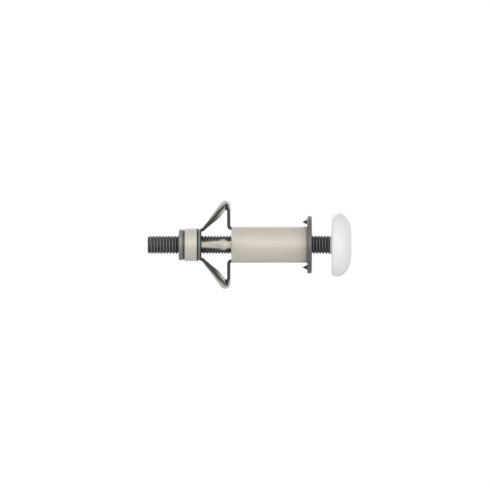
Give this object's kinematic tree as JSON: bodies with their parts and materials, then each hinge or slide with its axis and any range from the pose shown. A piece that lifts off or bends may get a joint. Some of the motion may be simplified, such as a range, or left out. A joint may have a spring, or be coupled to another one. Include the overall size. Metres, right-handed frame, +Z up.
{
  "type": "metal hollow wall anchor",
  "caption": "Metal hollow wall anchor in its set state: slotted steel sleeve with folded legs behind a barbed flange, and a domed screw through a captive nut.",
  "frame": {"origin": "on the anchor's axis at the back face of the flange plate, the face that lies on the wall", "axes": "+X along the axis towards the screw head, +Z up through one pair of legs, -Y towards the viewer of the picture"},
  "size_m": [0.0665, 0.0288, 0.0288],
  "materials": {
    "sleeve_steel": "satin zinc with a warm grey-beige tone",
    "flange_steel": "darker grey satin steel",
    "nut_steel": "grey satin zinc",
    "screw_steel": "dark steel thread",
    "head_steel": "near-white bright head"
  },
  "bodies": {
    "anchor": {"sleeve": "sleeve_steel", "flange_plate": "flange_steel", "nut": "nut_steel"},
    "screw": {"screw": "screw_steel"}
  },
  "joints": [
    {"name": "screw_travel", "type": "slide", "parent": "anchor", "child": "screw", "axis": [1, 0, 0], "range_m": [-0.006, 0.016]}
  ]
}
